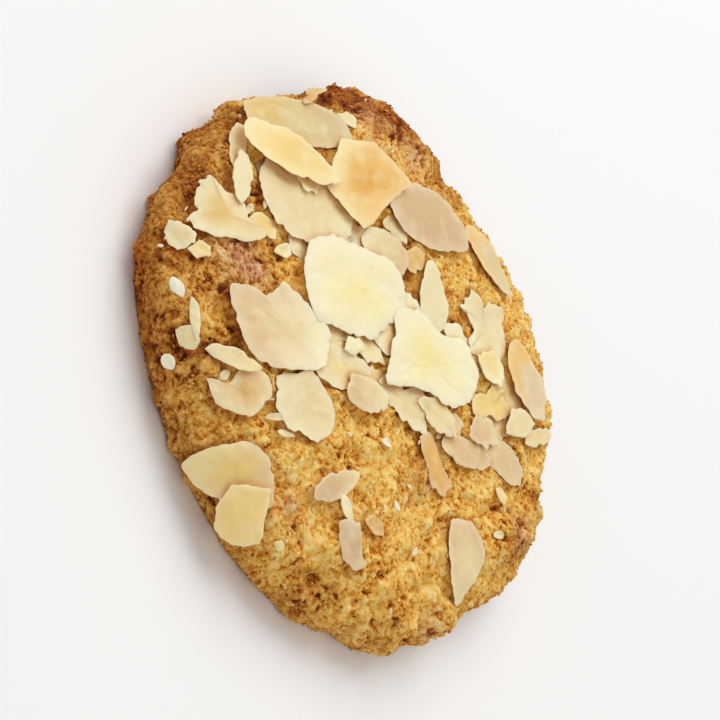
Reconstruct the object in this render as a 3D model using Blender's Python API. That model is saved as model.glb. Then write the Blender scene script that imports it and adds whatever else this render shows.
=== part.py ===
"""A round butter cookie with a coarse crumb, its crown strewn with broken almond flakes.

One solid: the baked body with the flakes fused to its crown. The cookie lies on its flat
underside with the origin at the middle of that face. Metres, +Z up.
"""
import bisect
import math
import random

import bmesh
import bpy
from mathutils import Vector, noise

MM = 0.001

# ---- driving dimensions -------------------------------------------------------------------
RADIUS = 45.0 * MM          # mean radius at the widest level
HEIGHT = 14.0 * MM          # flat underside to the middle of the crown
EDGE_LEVEL = 5.0 * MM       # height of the widest level
FOOT_RATIO = 0.945          # radius of the flat underside against the widest radius
CROWN_POWER = 5.0           # how late the flat crown turns down into the shoulder

# Uneven rim: (lobes round the rim, how far they stand out, angle in degrees).
RIM_LOBES = (
    (2, 0.13 * MM, 110.0), (3, 0.33 * MM, 169.0), (4, 1.05 * MM, -126.0), (5, 0.28 * MM, 47.0),
    (6, 0.32 * MM, 164.0), (7, 0.48 * MM, -93.0), (8, 0.28 * MM, 127.0), (9, 0.47 * MM, -102.0),
)

# Relief of the crumb: (size of the lumps, how far they stand out, shift of the noise).
SWELLS = (17.0 * MM, 0.6 * MM, Vector((3.1, 7.7, 1.3)))
LUMPS = (5.2 * MM, 1.3 * MM, Vector((11.9, 2.3, 5.1)))
CRAGS = (3.0 * MM, 1.1 * MM, Vector((6.7, 14.1, 9.5)))
FOOT_FADE = 1.2 * MM        # the relief fades out over this height above the underside

RING_PITCH = 1.7 * MM       # distance between the rings of vertices
RIM_SEGMENTS = 144          # vertices of the outer rings
SLOPE_REACH = 0.4 * MM      # how far to each side the slope of the surface is read
SMOOTH_ANGLE = 35.0         # edges that turn by more degrees than this look sharp

# Pits and cracks in the crumb: (x, y, radius, depth) in millimetres.
PITS = (
    (-4.5, 9.5, 2.6, 1.3), (-10.0, 9.0, 2.2, 1.2), (0.5, 12.5, 1.7, 1.1), (-1.0, 20.0, 2.0, 1.2),
    (-15.5, -32.5, 2.2, 1.3), (-11.5, -34.5, 2.2, 1.2), (-7.5, -35.5, 2.0, 1.1), (24.0, -6.0, 2.6, 0.9),
    (31.0, -25.0, 2.6, 1.2), (37.5, -20.0, 2.2, 1.2), (29.5, -31.5, 2.4, 1.2), (36.5, -8.0, 2.4, 1.0),
    (-22.5, 24.0, 2.3, 1.1), (-34.0, 17.0, 2.4, 1.0), (29.0, 12.5, 2.2, 0.9), (14.5, -16.5, 2.2, 0.9),
    (-30.5, -32.0, 2.2, 1.0), (38.0, 12.0, 2.2, 1.0),
)

# ---- almond flakes ------------------------------------------------------------------------
FLAKE_STAND = 0.9 * MM      # how far a flake that lies flat stands out of the crumb
FLAKE_ROOT = 1.5 * MM       # how far its underside reaches into the crumb
LAYER_STEP = 0.75 * MM      # what each layer of flakes adds
FLAKE_FOLLOW = 0.7          # how much a flake bends after the crown, 0 stiff to 1 limp
FLAKE_CORE = 0.55           # size of the ring inside a flake's edge against the edge
FLAKE_RAGGED = (0.06, 0.08)  # how uneven its edge is, in halves of its length and width
FLAKE_CUP = (-0.3 * MM, 0.6 * MM)       # range of how far its long edges curl up
FLAKE_TWIST = 0.25 * MM     # most that its corners are twisted up or down
FIRST_SEED = 100            # seed of the first flake's unevenness

# Outlines of whole and broken slices, along and across, in halves of the length and width.
OUTLINES = {
    "leaf": ((-1.0, 0.05), (-0.72, 0.66), (-0.2, 1.0), (0.38, 0.8), (1.0, 0.0),
             (0.45, -0.78), (-0.15, -1.0), (-0.7, -0.7)),
    "oval": ((-1.0, 0.0), (-0.78, 0.68), (-0.15, 1.0), (0.55, 0.86), (0.98, 0.25),
             (0.85, -0.52), (0.2, -1.0), (-0.6, -0.85)),
    "half": ((-0.95, 0.85), (-0.2, 1.0), (0.5, 0.72), (1.0, 0.02), (0.6, -0.72),
             (-0.1, -1.0), (-0.72, -0.88), (-1.0, -0.1)),
    "slab": ((-1.0, -0.3), (-0.86, 0.7), (-0.1, 1.0), (0.62, 0.86), (1.0, 0.3),
             (0.86, -0.6), (0.1, -1.0), (-0.7, -0.85)),
    "quad": ((-0.55, 0.78), (0.25, 0.85), (1.05, 0.28), (0.38, -0.5), (-0.15, -1.1), (-0.92, -0.4)),
    "block": ((-0.95, -0.75), (-0.85, 0.85), (0.1, 0.8), (0.9, 0.95), (1.0, -0.2), (0.55, -0.9),
              (-0.2, -0.95)),
    "chip": ((-1.0, -0.5), (-0.45, 0.9), (0.6, 0.8), (1.0, -0.25), (0.1, -1.0)),
    "torn": ((-1.0, -0.2), (-0.62, 0.75), (-0.1, 0.55), (0.3, 1.0), (0.95, 0.55),
             (0.7, 0.0), (0.9, -0.7), (0.1, -0.85), (-0.55, -0.6)),
    "strip": ((-1.0, -0.3), (-0.7, 0.9), (0.3, 1.0), (1.0, 0.25), (0.5, -0.75), (-0.4, -1.0)),
    "fan": ((-0.65, -0.7), (-0.55, 0.0), (-0.47, 0.9), (-0.15, 1.25), (0.02, 0.85), (0.36, 0.58),
            (0.5, 0.2), (0.75, -0.18), (1.0, -0.35), (0.85, -0.78), (0.15, -0.9), (-0.25, -0.9)),
    "nicked": ((-0.98, 0.55), (-0.7, 0.56), (-0.42, 0.52), (-0.2, 0.66), (0.0, 0.96), (0.38, 0.86),
               (0.75, 0.5), (0.94, 0.15), (0.84, -0.48), (0.6, -0.76), (-0.1, -1.04), (-0.5, -1.02),
               (-0.8, -0.72), (-1.0, -0.1)),
    "cup": ((-0.97, -0.75), (-0.5, -0.2), (-0.55, 0.25), (-0.6, 0.85), (-0.21, 1.3), (0.25, 1.4),
            (0.59, 1.0), (0.69, 0.1), (0.58, -0.5), (0.11, -1.0), (-0.33, -1.22), (-0.73, -1.1)),
    "flag": ((-0.98, -0.32), (-1.14, 0.24), (-0.6, 0.74), (-0.16, 1.0), (0.45, 0.78), (0.75, 0.36),
             (0.87, -0.1), (0.6, -0.88), (0.14, -1.08), (-0.43, -1.05), (-0.82, -0.78)),
    "blunt": ((-0.89, -0.38), (-0.82, -0.05), (-0.75, 0.44), (-0.6, 1.0), (-0.14, 1.09), (0.23, 0.88),
              (0.71, 0.82), (0.88, 0.58), (0.96, 0.15), (0.83, -0.3), (0.38, -0.63), (-0.04, -0.5),
              (-0.42, -0.55), (-0.86, -0.62)),
    "round": ((-1.0, -0.24), (-0.96, 0.27), (-0.8, 0.77), (-0.24, 0.93), (0.28, 0.84), (0.79, 0.67),
              (1.03, 0.19), (1.0, -0.37), (0.53, -0.93), (0.17, -1.12), (-0.29, -1.04), (-0.79, -0.82)),
    "wing": ((-1.2, -0.2), (-0.88, 0.44), (-0.35, 1.06), (0.22, 1.1), (0.71, 0.96), (0.92, 0.3),
             (0.99, -0.39), (0.1, -0.88), (-0.62, -1.13), (-0.96, -0.78)),
    "petal": ((-0.95, -0.3), (-0.85, 0.5), (-0.3, 1.0), (0.35, 0.72), (1.0, -0.1), (0.4, -0.72),
              (-0.3, -0.95), (-0.82, -0.8)),
    "moon": ((-1.15, -0.62), (-0.95, 0.02), (-0.55, 0.64), (-0.33, 1.02), (-0.07, 1.08), (0.27, 0.95),
             (0.66, 0.58), (0.88, -0.15), (0.4, -0.78), (-0.2, -0.85), (-0.6, -1.0), (-0.98, -0.88)),
}

# Each flake: (x, y, length, width) in millimetres, heading of its length in degrees from +X,
# outline, layer, and how far its +length end is lifted, in millimetres.
FLAKES = (
    (-38.0, -2.0, 22.0, 10.0, 75, "slab", 0, 0.0),
    (-25.5, -9.5, 21.0, 14.0, 62, "oval", 0, 0.0),
    (-31.6, -20.8, 10.5, 3.4, -38, "strip", 1, 0.0),
    (-36.8, -17.0, 10.0, 2.8, -46, "strip", 0, 0.0),
    (-32.4, -9.4, 18.5, 7.2, 50, "half", 2, 0.4),
    (-25.6, 5.3, 20.0, 15.5, 63, "quad", 1, 0.4),
    (-27.8, -27.4, 16.5, 10.0, 62, "fan", 0, 0.3),
    (-26.0, -35.6, 5.6, 5.0, -22, "chip", 0, 0.0),
    (-17.0, 19.5, 19.0, 9.4, 63, "wing", 0, 0.3),
    (-18.0, 10.3, 5.6, 4.0, 30, "chip", -0.8, 0.0),
    (-8.5, 32.5, 15.0, 7.0, 22, "leaf", 0, 0.0),
    (-5.6, 12.6, 13.2, 7.0, 155, "leaf", 0, 0.3),
    (-15.0, 4.8, 11.0, 7.0, 48, "slab", 0, 0.0),
    (-11.3, -6.3, 23.0, 16.0, 74, "round", 1.2, 0.0),
    (4.9, 4.6, 24.0, 17.0, 64, "blunt", 1.5, 0.0),
    (-8.5, -25.5, 20.0, 14.5, 62, "nicked", 0.9, 0.0),
    (0.5, -15.0, 13.0, 7.0, 66, "slab", 0, 0.0),
    (-0.8, -36.8, 11.0, 7.6, 22, "cup", 0, 0.4),
    (-6.0, -36.8, 9.4, 3.0, 48, "strip", 1, 0.6),
    (4.0, -25.4, 13.5, 10.5, 48, "flag", 0, 0.3),
    (10.8, -40.6, 15.5, 9.6, 46, "moon", 0, 0.4),
    (15.8, -40.4, 8.6, 7.6, -22, "block", 1, 0.9),
    (17.0, -24.6, 11.0, 3.9, 92, "strip", 0, 0.0),
    (26.0, -24.2, 7.8, 4.8, -8, "block", 0, 0.0),
    (24.5, -18.5, 5.0, 3.0, 45, "chip", 0, -0.4),
    (34.8, 1.2, 14.4, 10.6, -20, "petal", 0, 0.0),
    (11.8, 30.4, 13.4, 9.0, 12, "oval", 1, 0.0),
    (2.0, 24.2, 13.5, 12.0, 150, "torn", 0, 0.0),
    (7.8, 21.2, 7.0, 5.6, 20, "chip", 1, 0.0),
    (13.3, 18.8, 11.0, 6.6, 86, "torn", 0, 0.0),
    (1.8, 15.8, 7.5, 5.4, 20, "chip", 0, 0.0),
    (17.0, 13.6, 7.4, 5.2, 68, "chip", 1, 0.0),
    (19.5, 8.5, 13.0, 5.0, 62, "strip", 0, 0.0),
    (21.8, 17.8, 13.0, 6.2, 44, "slab", -0.6, 0.0),
    (17.6, 24.0, 9.0, 5.0, 85, "chip", 1, 0.0),
    (21.0, 31.0, 12.0, 3.0, 86, "strip", 0, 0.0),
    (8.4, -2.6, 13.5, 8.5, 45, "torn", 0, 0.0),
    (12.0, 3.6, 9.5, 6.0, 30, "chip", 0.7, 0.4),
    (5.2, -11.8, 9.5, 5.6, 60, "slab", 0.9, 0.0),
    (18.8, 0.0, 11.0, 5.0, 4, "block", 0, -0.3),
)


def clear_scene():
    for obj in list(bpy.data.objects):
        bpy.data.objects.remove(obj, do_unlink=True)


def plain_material(name, colour, roughness):
    material = bpy.data.materials.new(name)
    material.use_nodes = True
    shader = material.node_tree.nodes["Principled BSDF"]
    shader.inputs["Base Color"].default_value = (*colour, 1.0)
    shader.inputs["Roughness"].default_value = roughness
    shader.inputs["Metallic"].default_value = 0.0
    return material


# ---- form of the cookie -------------------------------------------------------------------
def rim_radius(angle):
    """Widest radius in the direction of an angle from +X."""
    lobes = sum(size * math.cos(count * angle - math.radians(phase)) for count, size, phase in RIM_LOBES)
    return RADIUS + lobes


def turned_profile(steps=400):
    """The profile from the middle of the crown to the foot: rows of (travel, radius ratio, level)."""
    points = []
    for step in range(steps + 1):
        turn = 0.5 * math.pi * step / steps
        ratio = math.sin(turn) ** (2.0 / CROWN_POWER)
        points.append((ratio, EDGE_LEVEL + (HEIGHT - EDGE_LEVEL) * math.cos(turn)))
    for step in range(1, steps + 1):
        drop = step / steps
        ratio = 1.0 - (1.0 - FOOT_RATIO) * (1.0 - math.cos(0.5 * math.pi * drop))
        points.append((ratio, EDGE_LEVEL * (1.0 - drop)))
    rows = [(0.0, *points[0])]
    for (ratio_a, level_a), (ratio_b, level_b) in zip(points, points[1:]):
        step_length = math.hypot((ratio_b - ratio_a) * RADIUS, level_b - level_a)
        rows.append((rows[-1][0] + step_length, ratio_b, level_b))
    return rows


PROFILE = turned_profile()
PROFILE_LENGTH = PROFILE[-1][0]


def profile_at(travel):
    """Radius ratio and level at a distance along the profile from the middle of the crown."""
    at = min(max(bisect.bisect_left(PROFILE, (travel,)), 1), len(PROFILE) - 1)
    (start, ratio_a, level_a), (end, ratio_b, level_b) = PROFILE[at - 1], PROFILE[at]
    part = min(max((travel - start) / (end - start), 0.0), 1.0)
    return ratio_a + part * (ratio_b - ratio_a), level_a + part * (level_b - level_a)


def wrap(x, y):
    """Point of the smooth surface under a place on the crown unrolled flat."""
    angle = math.atan2(y, x)
    ratio, level = profile_at(math.hypot(x, y))
    reach = ratio * rim_radius(angle)
    return Vector((reach * math.cos(angle), reach * math.sin(angle), level))


def unroll(x, y):
    """Place on the unrolled crown that lies over a point of the plan."""
    angle = math.atan2(y, x)
    ratio = min(math.hypot(x, y) / rim_radius(angle), 1.0)
    travel = next(row[0] for row in PROFILE if row[1] >= ratio)
    return travel * math.cos(angle), travel * math.sin(angle)


def surface_normal(x, y):
    """Outward normal of the smooth surface at a place on the unrolled crown."""
    slope_x = wrap(x + SLOPE_REACH, y) - wrap(x - SLOPE_REACH, y)
    slope_y = wrap(x, y + SLOPE_REACH) - wrap(x, y - SLOPE_REACH)
    return slope_x.cross(slope_y).normalized()


def relief(point):
    """How far the crumb stands out of the smooth form at a point."""
    total = 0.0
    for size, stand, shift in (SWELLS, LUMPS, CRAGS):
        total += stand * noise.noise(point / size + shift)
    for x, y, radius, depth in PITS:
        away = math.hypot(point.x - x * MM, point.y - y * MM) / (radius * MM)
        if away < 1.0 and point.z > EDGE_LEVEL:
            total -= depth * MM * (1.0 - away * away) ** 2
    return total


def surface_point(travel, angle):
    """A point of the baked surface; its relief fades out at the foot, which stays flat."""
    x, y = travel * math.cos(angle), travel * math.sin(angle)
    point = wrap(x, y)
    if travel >= PROFILE_LENGTH:
        return point
    fade = min(1.0, point.z / FOOT_FADE)
    return point + surface_normal(x, y) * relief(point) * fade


def stitch(mesh, inner, outer):
    """Triangles between two closed rings whose vertices start at the same angle."""
    count_in, count_out = len(inner), len(outer)
    at_in = at_out = 0
    while at_in < count_in or at_out < count_out:
        vertex_in, vertex_out = inner[at_in % count_in], outer[at_out % count_out]
        if at_out * count_in <= at_in * count_out and at_out < count_out:
            mesh.faces.new((vertex_in, vertex_out, outer[(at_out + 1) % count_out]))
            at_out += 1
        else:
            mesh.faces.new((vertex_in, vertex_out, inner[(at_in + 1) % count_in]))
            at_in += 1


def make_body():
    mesh = bmesh.new()
    middle = mesh.verts.new(surface_point(0.0, 0.0))
    ring = None
    rings = round(PROFILE_LENGTH / RING_PITCH)
    for step in range(1, rings + 1):
        count = min(6 * step, RIM_SEGMENTS)
        travel = PROFILE_LENGTH * step / rings
        next_ring = [mesh.verts.new(surface_point(travel, 2.0 * math.pi * turn / count)) for turn in range(count)]
        if ring is None:
            for turn in range(count):
                mesh.faces.new((middle, next_ring[turn], next_ring[(turn + 1) % count]))
        else:
            stitch(mesh, ring, next_ring)
        ring = next_ring
    mesh.faces.new(list(reversed(ring)))
    body_mesh = bpy.data.meshes.new("butter_cookie")
    mesh.to_mesh(body_mesh)
    mesh.free()
    body = bpy.data.objects.new("butter_cookie", body_mesh)
    bpy.context.scene.collection.objects.link(body)
    body_mesh.materials.append(plain_material("baked_crumb", (0.62, 0.36, 0.13), 0.85))
    return body


# ---- flakes -------------------------------------------------------------------------------
def flake_rings(outline, draw):
    """The edge of a flake and a ring inside it, in halves of its length and width."""
    along, across = FLAKE_RAGGED
    corners = [Vector((u + draw.uniform(-along, along), v + draw.uniform(-across, across))) for u, v in outline]
    return corners, [corner * FLAKE_CORE for corner in corners]


def make_flake(index, row, collection):
    """A thin wavy plate, its root sunk in the crumb; both faces are split alike."""
    x, y, length, width, heading, kind, layer, lift = row
    draw = random.Random(FIRST_SEED + index)
    flat_x, flat_y = unroll(x * MM, y * MM)
    middle = wrap(flat_x, flat_y)
    normal = surface_normal(flat_x, flat_y)
    ahead = Vector((math.cos(math.radians(heading)), math.sin(math.radians(heading)), 0.0))
    along = (ahead - normal * ahead.dot(normal)).normalized()
    across = normal.cross(along)
    cup = draw.uniform(*FLAKE_CUP)
    twist = draw.uniform(-FLAKE_TWIST, FLAKE_TWIST)

    def top_point(u, v):
        forward, aside = 0.5 * length * MM * u, 0.5 * width * MM * v
        over_x = flat_x + forward * ahead.x - aside * ahead.y
        over_y = flat_y + forward * ahead.y + aside * ahead.x
        stiff = middle + along * forward + across * aside
        outward = normal.lerp(surface_normal(over_x, over_y), FLAKE_FOLLOW).normalized()
        stand = FLAKE_STAND + layer * LAYER_STEP
        stand += 0.5 * (u + 1.0) * lift * MM + 0.5 * cup * v * v + twist * u * v
        return stiff.lerp(wrap(over_x, over_y), FLAKE_FOLLOW) + outward * stand

    edge, core = flake_rings(OUTLINES[kind], draw)
    mesh = bmesh.new()
    count = len(edge)
    root = FLAKE_STAND + FLAKE_ROOT + layer * LAYER_STEP
    tops = [[mesh.verts.new(top_point(*corner)) for corner in ring] for ring in (edge, core)]
    roots = [[mesh.verts.new(top_point(*corner) - normal * root) for corner in ring] for ring in (edge, core)]
    hub = sum(core, Vector((0.0, 0.0))) / count
    top_hub = mesh.verts.new(top_point(*hub))
    root_hub = mesh.verts.new(top_point(*hub) - normal * root)
    for (outer, inner), centre in ((tops, top_hub), (roots, root_hub)):
        for turn in range(count):
            after = (turn + 1) % count
            mesh.faces.new((inner[turn], outer[turn], outer[after]))
            mesh.faces.new((inner[turn], outer[after], inner[after]))
            mesh.faces.new((centre, inner[turn], inner[after]))
    for turn in range(count):
        after = (turn + 1) % count
        mesh.faces.new((tops[0][turn], roots[0][turn], roots[0][after]))
        mesh.faces.new((tops[0][turn], roots[0][after], tops[0][after]))
    bmesh.ops.recalc_face_normals(mesh, faces=mesh.faces)
    flake_mesh = bpy.data.meshes.new(f"flake_{index}")
    mesh.to_mesh(flake_mesh)
    mesh.free()
    collection.objects.link(bpy.data.objects.new(f"flake_{index}", flake_mesh))


def fuse(body, collection):
    """Join the flakes to the body with one Boolean union, then remove them."""
    union = body.modifiers.new("flakes", "BOOLEAN")
    union.operation = "UNION"
    union.operand_type = "COLLECTION"
    union.collection = collection
    union.solver = "EXACT"
    graph = bpy.context.evaluated_depsgraph_get()
    fused = bpy.data.meshes.new_from_object(body.evaluated_get(graph))
    body.modifiers.clear()
    body.data = fused
    for flake in list(collection.objects):
        bpy.data.objects.remove(flake, do_unlink=True)
    bpy.data.collections.remove(collection)


def drop_scraps(body):
    """Keep the largest connected shell."""
    mesh = bmesh.new()
    mesh.from_mesh(body.data)
    seen = set()
    shells = []
    for vertex in mesh.verts:
        if vertex in seen:
            continue
        seen.add(vertex)
        shell = [vertex]
        for member in shell:
            for edge in member.link_edges:
                other = edge.other_vert(member)
                if other not in seen:
                    seen.add(other)
                    shell.append(other)
        shells.append(shell)
    shells.sort(key=len, reverse=True)
    for shell in shells[1:]:
        bmesh.ops.delete(mesh, geom=shell, context="VERTS")
    mesh.to_mesh(body.data)
    mesh.free()


def main():
    clear_scene()
    body = make_body()
    flakes = bpy.data.collections.new("flakes")
    bpy.context.scene.collection.children.link(flakes)
    for index, row in enumerate(FLAKES):
        make_flake(index, row, flakes)
    fuse(body, flakes)
    drop_scraps(body)
    body.data.shade_smooth()
    body.data.set_sharp_from_angle(angle=math.radians(SMOOTH_ANGLE))


main()
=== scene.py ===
"""Looks of the butter cookie: a coarse golden crumb with broken almond flakes on its crown."""

import math
import random
from itertools import combinations

import bpy
import numpy as np
from mathutils import Matrix, Vector, noise


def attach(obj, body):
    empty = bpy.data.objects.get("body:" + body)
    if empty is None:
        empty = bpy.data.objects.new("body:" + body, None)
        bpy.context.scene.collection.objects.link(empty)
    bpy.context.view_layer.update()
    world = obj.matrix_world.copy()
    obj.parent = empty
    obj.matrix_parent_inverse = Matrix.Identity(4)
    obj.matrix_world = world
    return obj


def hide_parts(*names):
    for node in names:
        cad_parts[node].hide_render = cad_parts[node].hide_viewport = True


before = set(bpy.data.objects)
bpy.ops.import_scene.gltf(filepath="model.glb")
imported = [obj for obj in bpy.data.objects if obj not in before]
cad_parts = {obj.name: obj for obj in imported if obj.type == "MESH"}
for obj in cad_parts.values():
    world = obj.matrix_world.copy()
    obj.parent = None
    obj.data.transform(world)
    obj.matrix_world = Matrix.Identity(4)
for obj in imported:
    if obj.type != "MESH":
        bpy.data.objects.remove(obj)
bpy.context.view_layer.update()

MM = 0.001  # lengths below are in millimetres, and MM turns them into metres

# ---- form of the cookie, as in the solid ----
RADIUS = 45.0
HEIGHT = 14.0
EDGE_LEVEL = 5.0
FOOT_RATIO = 0.945
CROWN_POWER = 5.0
RIM_LOBES = (
    (2, 0.13, 110), (3, 0.33, 169), (4, 1.05, -126), (5, 0.28, 47), (6, 0.32, 164), (7, 0.48, -93),
    (8, 0.28, 127), (9, 0.47, -102),
)
SWELLS = (17.0, 0.6, Vector((3.1, 7.7, 1.3)))
LUMPS = (5.2, 1.3, Vector((11.9, 2.3, 5.1)))
CRAGS = (3.0, 1.1, Vector((6.7, 14.1, 9.5)))
FOOT_FADE = 1.2
PITS = (
    (-4.5, 9.5, 2.6, 1.3), (-10, 9, 2.2, 1.2), (0.5, 12.5, 1.7, 1.1), (-1, 20, 2, 1.2),
    (-15.5, -32.5, 2.2, 1.3), (-11.5, -34.5, 2.2, 1.2), (-7.5, -35.5, 2, 1.1), (24, -6, 2.6, 0.9),
    (31, -25, 2.6, 1.2), (37.5, -20, 2.2, 1.2), (29.5, -31.5, 2.4, 1.2), (36.5, -8, 2.4, 1),
    (-22.5, 24, 2.3, 1.1), (-34, 17, 2.4, 1), (29, 12.5, 2.2, 0.9), (14.5, -16.5, 2.2, 0.9),
    (-30.5, -32, 2.2, 1), (38, 12, 2.2, 1),
)

# Small holes in the crumb, and knobs where positive: middle, radius and stand.
HOLES_AND_KNOBS = (
    (29.9, -30.4, 9.8, 1.5, -0.9), (24, -28, 12.3, 0.9, -0.7), (26, -32.3, 10.5, 0.9, -0.7),
    (36.8, -24.1, 8.4, 1.6, -1.1), (39.1, -19.8, 8.8, 1.2, -0.8), (32.9, -25.4, 10.4, 1, -0.7),
    (34.4, -27.1, 8.7, 1, -0.7), (37.2, -17.3, 10.8, 1, -0.7), (14.3, -33.4, 12.2, 1.1, -1),
    (23.3, -7.1, 13.8, 1.4, -0.7), (21.4, -3, 13.9, 1.3, -0.8), (-16, -31, 12.8, 1.3, -0.9),
    (42.3, -5, 7.5, 4.6, 1.1), (43.5, -11.9, 7, 2.4, -1), (32.8, -31.4, 4.6, 2.2, -1),
    (-37, -24, 9, 3, 0.8), (-41.5, 10, 9.5, 2.6, 0.9), (-38.5, 19.5, 9.5, 2.4, 0.8),
    (-12.7, -42.6, 2.8, 1.9, 0.9), (-9.6, -43.5, 3.8, 1.3, -0.9), (5.4, -43.2, 2.6, 1.5, -0.8),
    (9.4, -42.2, 2.6, 2, 0.8), (13.4, -42.2, 4.4, 1.3, -0.8), (-0.8, -43.4, 2.4, 2.2, 0.5),
)

# Patches baked darker, and paler where negative: (x, y, radius, amount). Those along the wall on the -y side
# are partly baked browning and partly painted shade of that side.
BROWN_AND_SHADE_PATCHES = (
    (-43, 8, 7, 0.9), (-40, 16, 7, 1.5), (-34, 25, 7, 1), (-27, 32, 6, 0.7), (-20, 32, 4.5, 0.6),
    (-36, -27, 9, 0.6), (-42, -14, 6, 0.4), (-28, -36, 8, 0.3), (35, 16.5, 6, 0.5), (42, -5, 6, -0.15),
    (19, -5.5, 6, 0.7), (-15, -33, 4, 0.4), (-10, -35.5, 4, 0.4), (-18, -29, 6, 0.35),
    (-20, -24, 4, 0.3), (-3, 18, 6, 0.4), (-8, 9, 4, 0.5), (30, -30, 7, 0.2), (-10, -42, 12, 0.25),
    (24, 2, 6, 0.25), (-37, -29, 9, 0.15), (-25, -39, 9, 0.35), (-12, -44, 9, 0.35), (2, -45, 8, 0.2),
    (-39, -19, 6, 0.4), (-21, -38, 6, 0.3), (-35.4, 22.3, 5, 0.4), (-33, 33, 7, 0.6), (-29, -20, 4, 0.3),
    (27, -8, 8, -0.25), (14, -12, 9, -0.45), (26, 12, 5, -0.3), (31, 8, 8, -0.1), (-30, 14, 4, 0.3),
    (21, -11, 4.5, 0.4), (19.5, -1.5, 4, 0.3), (30, 25.5, 3.5, 0.5), (36, 19.5, 4.5, 0.4),
)

# Patches of the crumb that blush a little pink, in the same form.
BLUSH_PATCHES = (
    (-20.8, -28.5, 5.5, 0.75), (-17.5, -25.5, 3.5, 0.6), (-35, 17, 6, 0.45), (-28, 23, 5, 0.6),
    (42.5, -7, 3.2, 0.4), (34, 19, 5, 0.45), (17.5, -34, 3, 0.5), (21.4, -3, 2.2, 0.5),
)

# ---- the almonds ----
FLAKE_STAND = 0.9
LAYER_STEP = 0.75
FLAKE_FOLLOW = 0.7
# Each outline: how far it is rounded between its corners (0 broken straight, 1 a whole slice's curve),
# how roughly it is torn (0 a clean cut, 1 a ragged break), and its corners in halves of length and width.
OUTLINES = {
    "leaf": (1, 0.45, ((-1, 0.05), (-0.72, 0.66), (-0.2, 1), (0.38, 0.8), (1, 0), (0.45, -0.78),
        (-0.15, -1), (-0.7, -0.7))),
    "oval": (1, 0.8, ((-1, 0), (-0.78, 0.68), (-0.15, 1), (0.55, 0.86), (0.98, 0.25), (0.85, -0.52),
        (0.2, -1), (-0.6, -0.85))),
    "half": (0.85, 0.5, ((-0.95, 0.85), (-0.2, 1), (0.5, 0.72), (1, 0.02), (0.6, -0.72), (-0.1, -1),
        (-0.72, -0.88), (-1, -0.1))),
    "slab": (0.75, 0.6, ((-1, -0.3), (-0.86, 0.7), (-0.1, 1), (0.62, 0.86), (1, 0.3), (0.86, -0.6),
        (0.1, -1), (-0.7, -0.85))),
    "quad": (0.35, 0.4, ((-0.55, 0.78), (0.25, 0.85), (1.05, 0.28), (0.38, -0.5), (-0.15, -1.1),
        (-0.92, -0.4))),
    "block": (0.4, 0.6, ((-0.95, -0.75), (-0.85, 0.85), (0.1, 0.8), (0.9, 0.95), (1, -0.2), (0.55, -0.9),
        (-0.2, -0.95))),
    "chip": (0.3, 0.9, ((-1, -0.5), (-0.45, 0.9), (0.6, 0.8), (1, -0.25), (0.1, -1))),
    "torn": (0.35, 1.1, ((-1, -0.2), (-0.62, 0.75), (-0.1, 0.55), (0.3, 1), (0.95, 0.55), (0.7, 0),
        (0.9, -0.7), (0.1, -0.85), (-0.55, -0.6))),
    "strip": (0.6, 0.7, ((-1, -0.3), (-0.7, 0.9), (0.3, 1), (1, 0.25), (0.5, -0.75), (-0.4, -1))),
    "fan": (0.3, 1.1, ((-0.65, -0.7), (-0.55, 0), (-0.47, 0.9), (-0.15, 1.25), (0.02, 0.85),
        (0.36, 0.58), (0.5, 0.2), (0.75, -0.18), (1, -0.35), (0.85, -0.78), (0.15, -0.9), (-0.25, -0.9))),
    "nicked": (0.5, 0.6, ((-0.98, 0.55), (-0.7, 0.56), (-0.42, 0.52), (-0.2, 0.66), (0, 0.96),
        (0.38, 0.86), (0.75, 0.5), (0.94, 0.15), (0.84, -0.48), (0.6, -0.76), (-0.1, -1.04),
        (-0.5, -1.02), (-0.8, -0.72), (-1, -0.1))),
    "cup": (0.8, 0.5, ((-0.97, -0.75), (-0.5, -0.2), (-0.55, 0.25), (-0.6, 0.85), (-0.21, 1.3),
        (0.25, 1.4), (0.59, 1), (0.69, 0.1), (0.58, -0.5), (0.11, -1), (-0.33, -1.22), (-0.73, -1.1))),
    "flag": (0.4, 0.8, ((-0.98, -0.32), (-1.14, 0.24), (-0.6, 0.74), (-0.16, 1), (0.45, 0.78),
        (0.75, 0.36), (0.87, -0.1), (0.6, -0.88), (0.14, -1.08), (-0.43, -1.05), (-0.82, -0.78))),
    "blunt": (0.5, 0.7, ((-0.89, -0.38), (-0.82, -0.05), (-0.75, 0.44), (-0.6, 1), (-0.14, 1.09),
        (0.23, 0.88), (0.71, 0.82), (0.88, 0.58), (0.96, 0.15), (0.83, -0.3), (0.38, -0.63),
        (-0.04, -0.5), (-0.42, -0.55), (-0.86, -0.62))),
    "round": (0.6, 0.6, ((-1, -0.24), (-0.96, 0.27), (-0.8, 0.77), (-0.24, 0.93), (0.28, 0.84),
        (0.79, 0.67), (1.03, 0.19), (1, -0.37), (0.53, -0.93), (0.17, -1.12), (-0.29, -1.04),
        (-0.79, -0.82))),
    "wing": (0.6, 0.4, ((-1.2, -0.2), (-0.88, 0.44), (-0.35, 1.06), (0.22, 1.1), (0.71, 0.96),
        (0.92, 0.3), (0.99, -0.39), (0.1, -0.88), (-0.62, -1.13), (-0.96, -0.78))),
    "petal": (0.8, 0.35, ((-0.95, -0.3), (-0.85, 0.5), (-0.3, 1), (0.35, 0.72), (1, -0.1), (0.4, -0.72),
        (-0.3, -0.95), (-0.82, -0.8))),
    "moon": (0.8, 0.4, ((-1.15, -0.62), (-0.95, 0.02), (-0.55, 0.64), (-0.33, 1.02), (-0.07, 1.08),
        (0.27, 0.95), (0.66, 0.58), (0.88, -0.15), (0.4, -0.78), (-0.2, -0.85), (-0.6, -1),
        (-0.98, -0.88))),
}

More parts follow.
